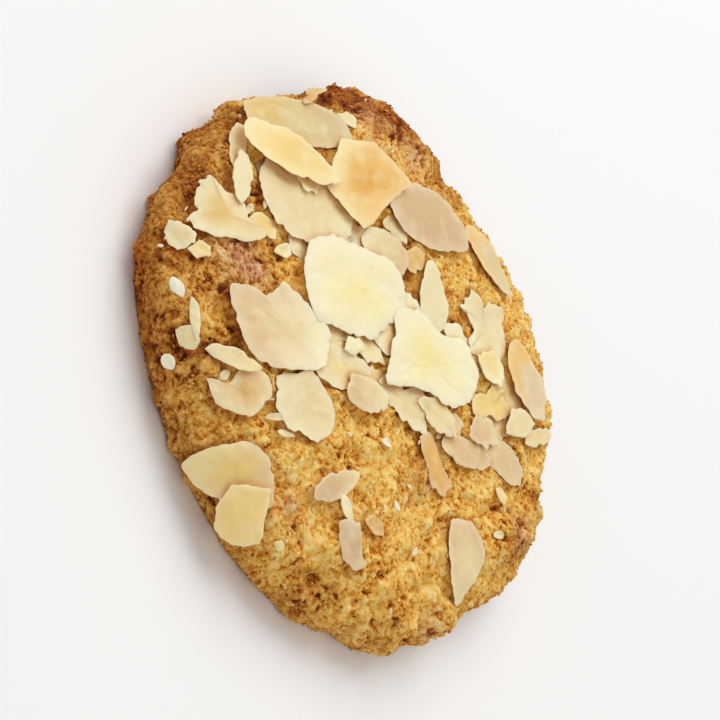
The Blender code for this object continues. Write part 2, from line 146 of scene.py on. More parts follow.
# Colours of the almond, in sRGB.
TONES = {
    "white": (252, 244, 214), "cream": (254, 242, 200), "ivory": (240, 225, 178),
    "pale": (236, 214, 162), "pink": (226, 192, 144), "straw": (248, 221, 152),
    "gold": (244, 210, 128), "toast": (240, 190, 104), "amber": (231, 172, 68),
    "tan": (224, 178, 102), "honey": (224, 186, 102), "butter": (254, 234, 168), "beige": (208, 182, 132),
    "rosy": (216, 182, 136), "sand": (226, 206, 156), "crust": (255, 219, 140),
    "linen": (220, 201, 148), "shell": (230, 208, 170),
}

# Painted shade: the warm tone a flake takes where another flake lies over it.
FLAKE_CONTACT_SHADE_TONE = (216, 160, 84)

# Each flake: place, length, width, heading, outline, tones, layer and lift, with the numbers of the solid.
# The tones are those of its -length end, its +length end and its middle, and come round again where fewer
# are given.
FLAKES = (
    (-38, -2, 22, 10, 75, "slab", "honey beige linen"),
    (-25.5, -9.5, 21, 14, 62, "oval", "pale ivory"),
    (-31.6, -20.8, 10.5, 3.4, -38, "strip", "ivory", 1),
    (-36.8, -17, 10, 2.8, -46, "strip", "pale ivory"),
    (-32.4, -9.4, 18.5, 7.2, 50, "half", "straw straw gold", 2, 0.4),
    (-25.6, 5.3, 20, 15.5, 63, "quad", "straw toast amber", 1, 0.4),
    (-27.8, -27.4, 16.5, 10, 62, "fan", "ivory pale honey", 0, 0.3),
    (-26, -35.6, 5.6, 5, -22, "chip", "ivory ivory pale"),
    (-17, 19.5, 19, 9.4, 63, "wing", "rosy", 0, 0.3),
    (-18, 10.3, 5.6, 4, 30, "chip", "pale ivory ivory", -0.8),
    (-8.5, 32.5, 15, 7, 22, "leaf", "toast sand sand"),
    (-5.6, 12.6, 13.2, 7, 155, "leaf", "ivory", 0, 0.3),
    (-15, 4.8, 11, 7, 48, "slab", "ivory pink pale"),
    (-11.3, -6.3, 23, 16, 74, "round", "cream cream butter", 1.2),
    (4.9, 4.6, 24, 17, 64, "blunt", "cream cream butter", 1.5),
    (-8.5, -25.5, 20, 14.5, 62, "nicked", "pink cream pale", 0.9),
    (0.5, -15, 13, 7, 66, "slab", "ivory ivory straw"),
    (-0.8, -36.8, 11, 7.6, 22, "cup", "pale pale tan", 0, 0.4),
    (-6, -36.8, 9.4, 3, 48, "strip", "ivory straw pale", 1, 0.6),
    (4, -25.4, 13.5, 10.5, 48, "flag", "ivory pale pale", 0, 0.3),
    (10.8, -40.6, 15.5, 9.6, 46, "moon", "straw pink gold", 0, 0.4),
    (15.8, -40.4, 8.6, 7.6, -22, "block", "crust", 1, 0.9),
    (17, -24.6, 11, 3.9, 92, "strip", "rosy pale"),
    (26, -24.2, 7.8, 4.8, -8, "block", "rosy"),
    (24.5, -18.5, 5, 3, 45, "chip", "tan", 0, -0.4),
    (34.8, 1.2, 14.4, 10.6, -20, "petal", "pink pale pale"),
    (11.8, 30.4, 13.4, 9, 12, "oval", "toast shell shell", 1),
    (2, 24.2, 13.5, 12, 150, "torn", "cream pale pale"),
    (7.8, 21.2, 7, 5.6, 20, "chip", "straw cream", 1),
    (13.3, 18.8, 11, 6.6, 86, "torn", "gold"),
    (1.8, 15.8, 7.5, 5.4, 20, "chip", "cream ivory"),
    (17, 13.6, 7.4, 5.2, 68, "chip", "pink pale", 1),
    (19.5, 8.5, 13, 5, 62, "strip", "pink"),
    (21.8, 17.8, 13, 6.2, 44, "slab", "pale pink pink", -0.6),
    (17.6, 24, 9, 5, 85, "chip", "pale ivory", 1),
    (21, 31, 12, 3, 86, "strip", "pale ivory straw"),
    (8.4, -2.6, 13.5, 8.5, 45, "torn", "pale ivory"),
    (12, 3.6, 9.5, 6, 30, "chip", "pale", 0.7, 0.4),
    (5.2, -11.8, 9.5, 5.6, 60, "slab", "pink ivory pale", 0.9),
    (18.8, 0, 11, 5, 4, "block", "tan tan toast", 0, -0.3),
)
# Slices that fill the middle of the crown, low under the others.
FILLERS = (
    (-1.7, -7.2, 10, 6, 60, "torn", "pale cream straw", -0.2),
    (-4.5, -17, 13, 9, 64, "torn", "cream straw ivory", -0.5, 0.1),
    (-3.2, 2.4, 16, 12, 70, "oval", "cream cream straw", 0.2, 0.1),
    (-18.6, -8.6, 16, 9, 68, "slab", "ivory cream pale", -0.8, 0.2),
    (-16.5, 1, 12, 8, 60, "block", "ivory cream", -0.65, 0.2),
    (4.6, -7.4, 9, 7, 50, "chip", "straw pale gold", -0.8),
    (8.4, 12.6, 10, 6, 80, "block", "cream straw", -0.8, 0.1),
    (5.2, 19.8, 9, 6, 60, "torn", "cream pale straw", -0.8, 0.2),
    (12, 24.6, 9, 6, 30, "block", "straw pale pale", -0.8),
    (16.6, 19.8, 8, 5, 70, "chip", "pale pink", -0.8),
    (-30.6, -14.2, 8, 5, 20, "torn", "ivory pale", -0.8),
    (13.6, 6.6, 9, 4.6, 50, "torn", "pink pale pale", -0.8),
    (-12.2, 12.4, 7, 3.4, 100, "strip", "tan gold", -0.8),
    (-24, -20.4, 6, 4.4, 40, "chip", "gold straw", -0.8),
)
# Bits and slivers too small for the solid, in the same form.
BITS = (
    (-36.4, 9.6, 4.2, 3, 20, "chip", "pale ivory"),
    (-23, -34.4, 3.6, 3, 40, "chip", "straw"),
    (-19.6, -19.2, 3.8, 2.6, 70, "chip", "straw cream"),
    (-18.8, -39.6, 3.4, 2, 0, "leaf", "white"),
    (-8.6, -43.6, 3, 2, 10, "leaf", "white"),
    (-13.6, -39.6, 6.8, 1.6, -25, "strip", "ivory", 0, 0.3),
    (-11.2, -41.2, 4.6, 3.4, 15, "chip", "pale ivory"),
    (4.2, -32.4, 5, 1.2, 75, "strip", "pale"),
    (7, -31.6, 3.4, 1, 60, "strip", "ivory pale pale"),
    (22.4, -36.6, 2.2, 1.6, 30, "chip", "straw"),
    (20.8, -23.8, 4.8, 2, 12, "leaf", "cream straw"),
    (13.4, -10.2, 2.4, 1.2, 50, "strip", "white"),
    (33, 11.6, 3.2, 1.4, 80, "strip", "ivory"),
    (27.4, 14.6, 3.6, 2.4, 20, "chip", "pale straw straw"),
    (-2.4, -11.2, 5, 3.2, 76, "chip", "cream straw", 1),
    (-27.8, -2.6, 3.4, 2.2, 70, "chip", "straw cream cream", 1),
    (23, -12.5, 2, 1, 10, "strip", "white"),
    (30.5, -11, 1.8, 0.9, 120, "strip", "ivory"),
    (-41, 6.5, 4.5, 1.3, 70, "strip", "tan pale", 1, 0.8),
    (-40.2, 3, 3.6, 1.2, 95, "strip", "tan", 1, 0.9),
    (-28.9, -8.2, 5.6, 4.4, 24, "chip", "straw cream", 1),
)

SHARD_TONES = ("cream", "ivory", "pale", "straw", "cream", "pink")
# Where the almonds crumbled into shards: middle, reach and number, with the greatest shard length.
SHARD_SPOTS = (
    (-24, -21, 4.5, 7, 3), (-27, -34, 5, 4, 2), (14, 26, 8, 8, 2.8), (3, -10, 5, 5, 2.6),
    (-4, -34, 6, 5, 2.4), (12, 2, 6, 5, 2.6), (0, 0, 43, 60, 1.1),
)

# ---- finer detail of the looks ----
NOISE_SEED = 7  # without a seed, the vector noise takes its offsets from the clock
BODY_PITCH = 0.32  # distance between the body's vertices
UNDERSIDE_PITCH = 1.1
PROFILE_STEPS = 400  # steps on the crown, and as many on the wall
SLOPE_REACH = 0.4  # half the distance over which a slope is taken

# The crumb's pattern: the size of each layer, and where it lies in the noise.
SWAY, SWAY_SIZE = 0.6, 1.5
BILLOW_SIZE, BILLOW_OCTAVES, BILLOW_FADE, BILLOW_STEP = 2.1, 3, 0.75, 2.1
LUMP_SIZE, LUMP_SHIFT = 2.0, Vector((4.0, 9.0, 2.0))
OPEN_SIZE, OPEN_SHIFT, OPEN_MEAN, OPEN_SPREAD = 5.0, Vector((2.0, 17.0, 6.0)), 0.45, 1.6
CRACK_WIDTH = 0.22  # as a share of a lump
PORE_SIZE, PORE_SHIFT, PORE_START, PORE_WALL = 1.3, Vector((21.0, 5.0, 13.0)), 0.26, 0.2
DUST_SIZE = 0.45
# What each layer adds: to the relief in millimetres, then to the level that the colour follows. So the colour
# has painted shade in the cracks and pores, and painted light on the rises.
BILLOW_ADDS = (0.3, 0.5)
OPEN_BILLOW_ADDS = 0.36  # more relief where the crumb is open
DUST_ADDS = (0.14, 0.16)
TINT_ADDS = 0.14
CRACK_ADDS = (-0.26, -0.3)
PORE_ADDS = (-0.5, -0.45)
MIDDLE_LEVEL = 0.68
HOLE_SHADE = 0.4  # painted shade: how much a hole lowers the colour's level for each millimetre

# How darkly the crumb is baked where no patch changes it, and how much painted shade it takes beside an
# almond.
RIM_START, RIM_BROWN = 0.8, 0.30
WALL_LEVEL, WALL_BROWN = 8.0, 0.35
CROWN_BROWN = -0.15
UNDERSIDE_BROWN = 0.62
CRUMB_CONTACT_SHADE = 0.45  # painted shade beside an almond
PATCH_FADE = 2.2

# The underside's open pores, and its colour's level with what the pores and specks add to it; the pores are
# painted darker as shade.
UNDER_PORE_SIZE, UNDER_PORE_START, UNDER_PORE_DEPTH, UNDER_PORE_DEEPEST = 2.4, 0.12, 1.4, 0.5
UNDER_LEVEL, UNDER_PORE_SHADE, SPECK_ADDS, SPECK_SIZE = 0.5, -1.1, 0.3, 0.9

GRAIN_COUNT = 7500
GRAIN_RADII = (0.13, 0.36)
GRAIN_SMALLNESS = 2.2  # the greater, the more of the grains are small
GRAIN_SHAPES = 10
GRAIN_LEVELS = (0.42, 0.42)  # lowest colour level, and how far it goes above that
GRAIN_FLOOR = 0.02
GRAIN_SEED = 5
BARE = 0.15  # grains keep to crumb that is covered less than this

FLAKE_THICKNESS = 0.6
BIT_THICKNESS = 0.5
SHARD_THICKNESS = 0.35
SHARD_LAYER = -0.3
SHARD_CLEARANCE = 0.2
SHARD_SEED = 61
CONTACT_SHADE_REACH = 0.8  # how far the painted shade beside a flake's edge reaches
FLAKE_CONTACT_SHADE_SHARE = 0.7
CONTACT_LEAST = 1.0  # half the width of the narrowest almond that puts painted shade on the crumb beside it
COVERING_LAYERS = 0.5  # a flake this many layers higher puts painted shade on the one under it
PRESS_OUT, PRESS_WIDTH = 0.3, 0.8  # where the crumb starts to meet a flake, and over what distance
BEDDING = 0.1  # how far the crumb stays below the flake
EDGE_PITCH = 0.42  # distance between the points of a flake's edge
FAR_OFF = 99.0
FLAKE_RING_STEPS = (1.0, 0.96, 0.89, 0.79, 0.67, 0.54, 0.4, 0.26, 0.12)
FLAKE_CUP = (-0.3, 0.6)
FLAKE_TWIST = (-0.25, 0.25)
FLAKE_CURL, BIT_CURL_SHARE = 0.22, 0.3
CORNER_JITTER = (0.06, 0.08)
RIM_ROUNDING = 0.28  # as a share of the thickness
RIM_THINNING = 0.35
SHARP_ANGLE = 50.0
LIE_STEP = 7.0  # keeps the fibre of one flake apart from the next one's
# Layers of noise on a flake: height, sizes along and across, and where it lies in the noise.
SWELL = (0.34, 4.2, 4.2, 0.0)
CREASE = (0.16, 3.4, 1.9, 11.0)
RIPPLE = (0.12, 1.2, 1.2, 5.0)
TEAR_COARSE = (0.5, 2.1, 2.1, 0.0)
TEAR_FINE = (0.26, 0.8, 0.8, 9.0)
TEAR_BITE, BITE_START = (1.5, 1.5, 1.5, 20.0), 0.12
TEAR_FULL_WIDTH = 2.5  # narrower halves than this are torn less

# Each group of almonds: piece name, rows, thickness and first seed.
ALMOND_GROUPS = (
    ("almond_flakes", FLAKES, FLAKE_THICKNESS, 100),
    ("almond_fillers", FILLERS, FLAKE_THICKNESS, 200),
    ("almond_bits", BITS, BIT_THICKNESS, 300),
)
SHARD_FIRST_SEED = 400


def linear(colour):
    """An sRGB colour of 0 to 255 as linear numbers of 0 to 1."""
    parts = np.asarray(colour, float) / 255.0
    return np.where(parts <= 0.04045, parts / 12.92, ((parts + 0.055) / 1.055) ** 2.4)


def opaque(colour):
    """An sRGB colour of 0 to 255 as the four numbers of a colour socket."""
    return (*linear(colour), 1.0)


def unit(vectors):
    return vectors / np.linalg.norm(vectors, axis=-1, keepdims=True)


ATTRIBUTE_KINDS = {1: ("FLOAT", "value"), 3: ("FLOAT_VECTOR", "vector"), 4: ("FLOAT_COLOR", "color")}


def new_piece(name, points, triangles, material, attributes=None):
    """A mesh object from arrays: points in millimetres, rows of three vertex numbers, and named
    values or colours for each point."""
    points = np.asarray(points, np.float32) * MM
    triangles = np.asarray(triangles, np.int32)
    mesh = bpy.data.meshes.new(name)
    mesh.vertices.add(len(points))
    mesh.vertices.foreach_set("co", points.ravel())
    mesh.loops.add(triangles.size)
    mesh.loops.foreach_set("vertex_index", triangles.ravel())
    mesh.polygons.add(len(triangles))
    mesh.polygons.foreach_set("loop_start", np.arange(0, triangles.size, 3, dtype=np.int32))
    mesh.update(calc_edges=True)
    for key, values in (attributes or {}).items():
        values = np.asarray(values, np.float32)
        kind, field = ATTRIBUTE_KINDS[values[0].size]
        mesh.attributes.new(key, kind, "POINT").data.foreach_set(field, values.ravel())
    mesh.shade_smooth()
    mesh.materials.append(material)
    piece = bpy.data.objects.new(name, mesh)
    bpy.context.scene.collection.objects.link(piece)
    return piece


# ---- surface of the cookie ----
def rim_radius(angle):
    """Radius of the outline at angles round the cookie."""
    total = np.full(np.shape(angle), RADIUS)
    for count, size, phase in RIM_LOBES:
        total = total + size * np.cos(count * angle - math.radians(phase))
    return total


def turned_profile():
    """The profile from the middle of the crown to the foot: travel, radius ratio and level."""
    turn = 0.5 * math.pi * np.arange(PROFILE_STEPS + 1) / PROFILE_STEPS
    drop = np.arange(1, PROFILE_STEPS + 1) / PROFILE_STEPS
    ratio = np.concatenate([np.sin(turn) ** (2.0 / CROWN_POWER),
                            1.0 - (1.0 - FOOT_RATIO) * (1.0 - np.cos(0.5 * math.pi * drop))])
    level = np.concatenate([EDGE_LEVEL + (HEIGHT - EDGE_LEVEL) * np.cos(turn), EDGE_LEVEL * (1.0 - drop)])
    travel = np.concatenate([[0.0], np.cumsum(np.hypot(np.diff(ratio) * RADIUS, np.diff(level)))])
    return travel, ratio, level


TRAVEL, RATIO, LEVEL = turned_profile()
CROWN_ROWS = int(np.argmax(RATIO)) + 1
PROFILE_LENGTH = float(TRAVEL[-1])


def wrap(x, y):
    """Points of the smooth surface under places on the crown unrolled flat."""
    angle = np.arctan2(y, x)
    travel = np.hypot(x, y)
    reach = np.interp(travel, TRAVEL, RATIO) * rim_radius(angle)
    return np.stack([reach * np.cos(angle), reach * np.sin(angle), np.interp(travel, TRAVEL, LEVEL)], axis=-1)


def unroll(x, y):
    """The place on the unrolled crown of a point seen from above."""
    angle = math.atan2(y, x)
    ratio = min(math.hypot(x, y) / float(rim_radius(angle)), 1.0)
    travel = float(np.interp(ratio, RATIO[:CROWN_ROWS], TRAVEL[:CROWN_ROWS]))
    return travel * math.cos(angle), travel * math.sin(angle)


def surface_normal(x, y):
    """Outward directions of the smooth surface under places on the unrolled crown."""
    slope_x = wrap(x + SLOPE_REACH, y) - wrap(x - SLOPE_REACH, y)
    slope_y = wrap(x, y + SLOPE_REACH) - wrap(x, y - SLOPE_REACH)
    return unit(np.cross(slope_x, slope_y))


def cell_value(point):
    """A steady random number from 0 to 1 for a cell, from the point at its middle."""
    wave = math.sin(point.x * 12.9898 + point.y * 78.233 + point.z * 37.719) * 43758.5453
    return wave - math.floor(wave)


def crumb_detail(point):
    """Fine relief in millimetres at a point, how high it lies in its surroundings, and its crumb's tint. How
    high it lies sets the colour's level: painted shade in the cracks and pores, painted light on the rises.
    """
    bent = point + SWAY * noise.noise_vector(point / SWAY_SIZE)
    billow = noise.turbulence(bent / BILLOW_SIZE, BILLOW_OCTAVES, True, noise_basis="PERLIN_ORIGINAL",
                              amplitude_scale=BILLOW_FADE, frequency_scale=BILLOW_STEP) - 0.5
    spans, middles = noise.voronoi(bent / LUMP_SIZE + LUMP_SHIFT)
    tint = cell_value(middles[0])
    openness = OPEN_MEAN + OPEN_SPREAD * noise.noise(point / OPEN_SIZE + OPEN_SHIFT)
    openness = min(1.0, max(0.0, openness))
    crack = (1.0 - min(1.0, (spans[1] - spans[0]) / CRACK_WIDTH)) * openness
    pore = (noise.noise(bent / PORE_SIZE + PORE_SHIFT) - PORE_START) / PORE_WALL
    pore = min(1.0, max(0.0, pore)) * openness
    dust = noise.noise(point / DUST_SIZE)
    rise = ((BILLOW_ADDS[0] + OPEN_BILLOW_ADDS * openness) * billow + DUST_ADDS[0] * dust
            + TINT_ADDS * (tint - 0.5) + CRACK_ADDS[0] * crack + PORE_ADDS[0] * pore)
    height = (MIDDLE_LEVEL + BILLOW_ADDS[1] * billow + DUST_ADDS[1] * dust
              + CRACK_ADDS[1] * crack + PORE_ADDS[1] * pore)
    return rise, height, tint


def dome(away):
    """The height of a round bump: 1 in its middle, and 0 from a distance of 1."""
    return max(0.0, 1.0 - away * away) ** 2


def small_relief(point):
    """Stand in millimetres of the small holes and knobs at a point, negative in a hole."""
    return sum(stand * dome((point - Vector((x, y, z))).length / radius)
               for x, y, z, radius, stand in HOLES_AND_KNOBS)


def coarse_relief(point):
    """Stand in millimetres of the swells, lumps, crags and pits that the solid has too."""
    total = sum(stand * noise.noise(point / size + shift) for size, stand, shift in (SWELLS, LUMPS, CRAGS))
    if point.z > EDGE_LEVEL:
        for x, y, radius, depth in PITS:
            total -= depth * dome(math.hypot(point.x - x, point.y - y) / radius)
    return total


def ring_places():
    """Travel and angle of the body's vertices, and the number of vertices in each ring."""
    rings = round(PROFILE_LENGTH / BODY_PITCH)
    most = round(2.0 * math.pi * RADIUS / BODY_PITCH)
    counts = [min(6 * step, most) for step in range(1, rings + 1)]
    travel = [np.zeros(1)]
    angle = [np.zeros(1)]
    for step, count in enumerate(counts, start=1):
        travel.append(np.full(count, PROFILE_LENGTH * step / rings))
        angle.append(2.0 * math.pi * np.arange(count) / count)
    return np.concatenate(travel), np.concatenate(angle), counts


def stitch(first_in, count_in, first_out, count_out):
    """Triangles between two closed rings of vertices that start at the same angle."""
    rows = []
    at_in = at_out = 0
    while at_in < count_in or at_out < count_out:
        vertex_in, vertex_out = first_in + at_in % count_in, first_out + at_out % count_out
        if at_out * count_in <= at_in * count_out and at_out < count_out:
            rows.append((vertex_in, vertex_out, first_out + (at_out + 1) % count_out))
            at_out += 1
        else:
            rows.append((vertex_in, vertex_out, first_in + (at_in + 1) % count_in))
            at_in += 1
    return rows


def patches_at(points, patches):
    """The sum of soft round patches, each (x, y, radius, amount), at points."""
    total = np.zeros(len(points))
    for x, y, radius, amount in patches:
        away = np.hypot(points[:, 0] - x, points[:, 1] - y) / radius
        total = total + amount * np.exp(-PATCH_FADE * away * away)
    return total


def browning(points):
    """How darkly the crumb is baked, from 0 to 1: more at the rim and below it, and in a few patches; the
    patches on the -y wall are partly painted shade.
    """
    angle = np.arctan2(points[:, 1], points[:, 0])
    reach = np.hypot(points[:, 0], points[:, 1]) / rim_radius(angle)
    rim = RIM_BROWN * np.clip((reach - RIM_START) / (1.0 - RIM_START), 0.0, 1.0)
    wall = WALL_BROWN * np.clip((WALL_LEVEL - points[:, 2]) / WALL_LEVEL, 0.0, 1.0)
    return rim + wall + CROWN_BROWN + patches_at(points, BROWN_AND_SHADE_PATCHES)


def make_body(material, slices):
    """The crumb; with it the share of each crown vertex that is covered, and every vertex's values."""
    travel, angle, counts = ring_places()
    x, y = travel * np.cos(angle), travel * np.sin(angle)
    smooth = wrap(x, y)
    normals = surface_normal(x, y)
    rise, height, tint = np.zeros(len(x)), np.zeros(len(x)), np.zeros(len(x))
    for row, place in enumerate(smooth):
        point = Vector(place)
        fine, height[row], tint[row] = crumb_detail(point)
        small = small_relief(point)
        # A hole lowers the colour's level too: painted shade in it.
        height[row] += min(0.0, HOLE_SHADE * small)
        rise[row] = coarse_relief(point) + fine + small
    rise, covered, nearness = settle(rise, x, y, slices)
    rise *= np.clip(smooth[:, 2] / FOOT_FADE, 0.0, 1.0)
    points = smooth + normals * rise[:, None]
    points[:, 2] = np.maximum(points[:, 2], 0.0)
    rows = [(0, 1 + turn, 1 + (turn + 1) % counts[0]) for turn in range(counts[0])]
    first = 1
    for count, following in zip(counts, counts[1:]):
        rows += stitch(first, count, first + count, following)
        first += count
    under_points, under_rows, under_height = underside(points[first:], first, len(points))
    more = len(under_points)
    # The brown value also carries painted shade beside the almonds.
    brown = browning(smooth) + CRUMB_CONTACT_SHADE * nearness
    values = {
        "height": np.concatenate([height, under_height]),
        "tint": np.concatenate([tint, np.full(more, 0.5)]),
        "brown": np.concatenate([brown, np.full(more, UNDERSIDE_BROWN)]),
        "blush": np.concatenate([patches_at(smooth, BLUSH_PATCHES), np.zeros(more)]),
    }
    points = np.concatenate([points, under_points])
    return new_piece("cookie_body", points, rows + under_rows, material, values), covered, values


def underside(edge, first_edge, first_new):
    """The flat baked underside, with open pores, as rings inside the foot's edge."""
    middle = edge.mean(axis=0)
    rings = round(RADIUS * FOOT_RATIO / UNDERSIDE_PITCH)
    points, height, rows = [], [], []
    ring_first, ring_count = first_edge, len(edge)
    start = first_new
    for step in range(rings - 1, 0, -1):
        share = step / rings
        count = max(6, round(2.0 * math.pi * RADIUS * share / UNDERSIDE_PITCH))
        angle = 2.0 * math.pi * np.arange(count) / count
        reach = rim_radius(angle) * FOOT_RATIO * share
        for x, y in zip(reach * np.cos(angle), reach * np.sin(angle)):
            pore = noise.noise(Vector((x / UNDER_PORE_SIZE, y / UNDER_PORE_SIZE, 40.0)))
            pore = max(0.0, pore - UNDER_PORE_START)
            speck = noise.noise(Vector((x / SPECK_SIZE, y / SPECK_SIZE, 17.0)))
            points.append((x, y, min(UNDER_PORE_DEEPEST, UNDER_PORE_DEPTH * pore)))
            # Painted shade: the colour is darker in the pores.
            height.append(UNDER_LEVEL + UNDER_PORE_SHADE * pore + SPECK_ADDS * speck)
        rows += [(a, c, b) for a, b, c in stitch(start, count, ring_first, ring_count)]
        ring_first, ring_count = start, count
        start += count
    points.append((middle[0], middle[1], 0.0))
    height.append(UNDER_LEVEL)
    for turn in range(ring_count):
        rows.append((start, ring_first + (turn + 1) % ring_count, ring_first + turn))
    return np.array(points), rows, np.array(height)


# ---- loose grains of the crumb ----
def grain_shape(draw):
    """A small angular crumb: an icosahedron with its corners pushed about."""
    golden = (1.0 + math.sqrt(5.0)) / 2.0
    corners = np.array([(0.0, s, t * golden) for s in (-1, 1) for t in (-1, 1)])
    corners = unit(np.concatenate([np.roll(corners, -shift, axis=1) for shift in range(3)]))
    rows = []
    longest_side = 1.2  # the sides are 1.05, and all other distances are 1.7 or more
    for a, b, c in combinations(range(len(corners)), 3):
        sides = [np.linalg.norm(corners[p] - corners[q]) for p, q in ((a, b), (b, c), (a, c))]
        if max(sides) < longest_side:
            outward = np.dot(np.cross(corners[b] - corners[a], corners[c] - corners[a]), corners[a])
            rows.append((a, b, c) if outward > 0 else (a, c, b))
    return corners * draw.uniform(0.6, 1.25, (len(corners), 1)), np.array(rows)


def make_grains(body, covered, under, material):
    """Grains seated on the bare crumb of the crown and wall, each its own size, turn and tint."""
    draw = np.random.default_rng(GRAIN_SEED)
    places = np.zeros(len(body.data.vertices) * 3, np.float32)
    body.data.vertices.foreach_get("co", places)
    places = places.reshape(-1, 3) / MM
    seats = draw.choice(np.flatnonzero(covered < BARE), GRAIN_COUNT, replace=False)
    shapes = [grain_shape(draw) for _ in range(GRAIN_SHAPES)]
    least, most = GRAIN_RADII
    low_level, level_range = GRAIN_LEVELS
    points, rows, tint, height = [], [], [], []
    for number, seat in enumerate(seats):
        corners, faces = shapes[draw.integers(len(shapes))]
        radius = least + (most - least) * draw.random() ** GRAIN_SMALLNESS
        stretch = draw.uniform(0.75, 1.2, 3)
        turn, _ = np.linalg.qr(draw.normal(size=(3, 3)))
        if np.linalg.det(turn) < 0.0:
            turn[:, 0] *= -1.0
        points.append((corners * stretch * radius) @ turn.T + places[seat])
        rows.append(faces + number * len(corners))
        tint.append(draw.random())
        height.append(low_level + level_range * draw.random())
    values = {"tint": tint, "height": height, "brown": under["brown"][seats], "blush": under["blush"][seats]}
    values = {key: np.repeat(each, len(corners)) for key, each in values.items()}
    points = np.concatenate(points)
    points[:, 2] = np.maximum(points[:, 2], GRAIN_FLOOR)
    piece = new_piece("crumb_grains", points, np.concatenate(rows), material, values)
    piece.data.shade_flat()
    return piece


# ---- almond flakes ----
class Slice:
    """One almond flake, bit or shard, with its own draw of random numbers and its torn edge."""

    def __init__(self, index, seed, thickness, x, y, length, width, heading, kind, tones, layer=0, lift=0):
        self.index, self.thickness, self.layer, self.lift = index, thickness, layer, lift
        self.tones = (3 * tones.split())[:3]
        self.draw = random.Random(seed + index)
        self.cup = self.draw.uniform(*FLAKE_CUP)
        self.twist = self.draw.uniform(*FLAKE_TWIST)
        along, across = CORNER_JITTER
        roundness, tearing, outline = OUTLINES[kind]
        corners = [np.array((u + self.draw.uniform(-along, along), v + self.draw.uniform(-across, across)))
                   for u, v in outline]
        self.size = np.array((0.5 * length, 0.5 * width))
        self.edge = torn_edge(rounded_edge(corners, roundness, self.size), tearing, self.size, self.draw)
        self.spot = np.array(unroll(x, y))
        self.turn = math.radians(heading)
        self.outline = np.stack(self.over(self.edge), axis=1)

    def over(self, places):
        """Where places of the flake, in halves of its length and width, lie on the unrolled crown."""
        forward, aside = self.size[0] * places[:, 0], self.size[1] * places[:, 1]
        return (self.spot[0] + forward * math.cos(self.turn) - aside * math.sin(self.turn),
                self.spot[1] + forward * math.sin(self.turn) + aside * math.cos(self.turn))

    def beyond(self, x, y):
        """How far places on the unrolled crown are outside the edge; negative under the flake."""
        gap = np.full(np.shape(x), FAR_OFF)
        reach = 1.4 * np.max(self.size) + 3.0
        near = np.flatnonzero(np.hypot(x - self.spot[0], y - self.spot[1]) < reach)
        if len(near) == 0:
            return gap
        start = self.outline[::2]
        side = np.roll(start, -1, axis=0) - start
        away_x, away_y = x[near, None] - start[:, 0], y[near, None] - start[:, 1]
        along = np.clip((away_x * side[:, 0] + away_y * side[:, 1]) / (side ** 2).sum(axis=1), 0.0, 1.0)
        distance = np.hypot(away_x - along * side[:, 0], away_y - along * side[:, 1]).min(axis=1)
        above, above_next = away_y < 0.0, np.roll(away_y, -1, axis=1) < 0.0
        steep = np.where(side[:, 1] == 0.0, 1.0, side[:, 1])
        crossed = (above != above_next) & (away_x < away_y * side[:, 0] / steep)
        gap[near] = np.where(crossed.sum(axis=1) % 2 == 1, -distance, distance)
        return gap


def make_slices(rows, thickness, seed):
    return [Slice(index, seed, thickness, *row) for index, row in enumerate(rows)]


def shard_rows(slices):
    """Rows for the shards, each on bare crumb."""
    draw = random.Random(SHARD_SEED)
    rows = []
    for middle_x, middle_y, reach, count, longest in SHARD_SPOTS:
        for _ in range(count):
            away, angle = reach * math.sqrt(draw.random()), draw.uniform(0.0, 2.0 * math.pi)
            x, y = middle_x + away * math.cos(angle), middle_y + away * math.sin(angle)
            length = longest * draw.uniform(0.45, 1.0)
            tones = draw.choice(SHARD_TONES) + " " + draw.choice(SHARD_TONES)
            row = (x, y, length, length * draw.uniform(0.3, 0.65), draw.uniform(0.0, 180.0),
                   draw.choice(("chip", "strip", "torn")), tones, SHARD_LAYER)
            over_x, over_y = (np.array([place]) for place in unroll(x, y))
            if min(other.beyond(over_x, over_y)[0] for other in slices) > SHARD_CLEARANCE:
                rows.append(row)
    return rows


def closeness(gap):
    """How near places are to an almond, from their gap to its edge: 1 under it, fading to 0 beside it."""
    return np.exp(-(np.maximum(gap, 0.0) / CONTACT_SHADE_REACH) ** 2)


def settle(rise, x, y, slices):
    """Brings the crumb to the underside of the almonds that lie on it, the lowest last; gives the
    share of each place that is covered, and how near it is to an almond's edge."""
    covered = np.zeros(np.shape(x))
    nearness = np.zeros(np.shape(x))
    for piece in sorted(slices, key=lambda piece: -piece.layer):
        gap = piece.beyond(x, y)
        under = np.clip((PRESS_OUT - gap) / PRESS_WIDTH, 0.0, 1.0)
        level = FLAKE_STAND - piece.thickness - BEDDING + piece.layer * LAYER_STEP
        rise = rise + under * (level - rise)
        covered = np.maximum(covered, under)
        if min(piece.size) > CONTACT_LEAST:
            nearness = np.maximum(nearness, closeness(gap))
    return rise, covered, nearness


def flake_noise(layer, forward, aside, shift):
    """Noise on a flake, from -1 to 1, in one of the layers named above."""
    _, long, wide, move = layer
    return noise.noise(Vector((forward / long, aside / wide, shift + move)))


def rounded_edge(corners, roundness, size):
    """Points round a flake in halves of its length and width, rounded between its corners."""
    count = len(corners)
    edge = []
    for at in range(count):
        before, start, end, after = (corners[(at + shift) % count] for shift in (-1, 0, 1, 2))
        steps = max(2, round(float(np.linalg.norm((end - start) * size)) / EDGE_PITCH))
        for step in range(steps):
            t = step / steps
            curve = 0.5 * (2.0 * start + (end - before) * t
                           + (2.0 * before - 5.0 * start + 4.0 * end - after) * t * t
                           + (3.0 * start - before - 3.0 * end + after) * t ** 3)
            edge.append((1.0 - roundness) * (start + (end - start) * t) + roundness * curve)
    return np.array(edge)


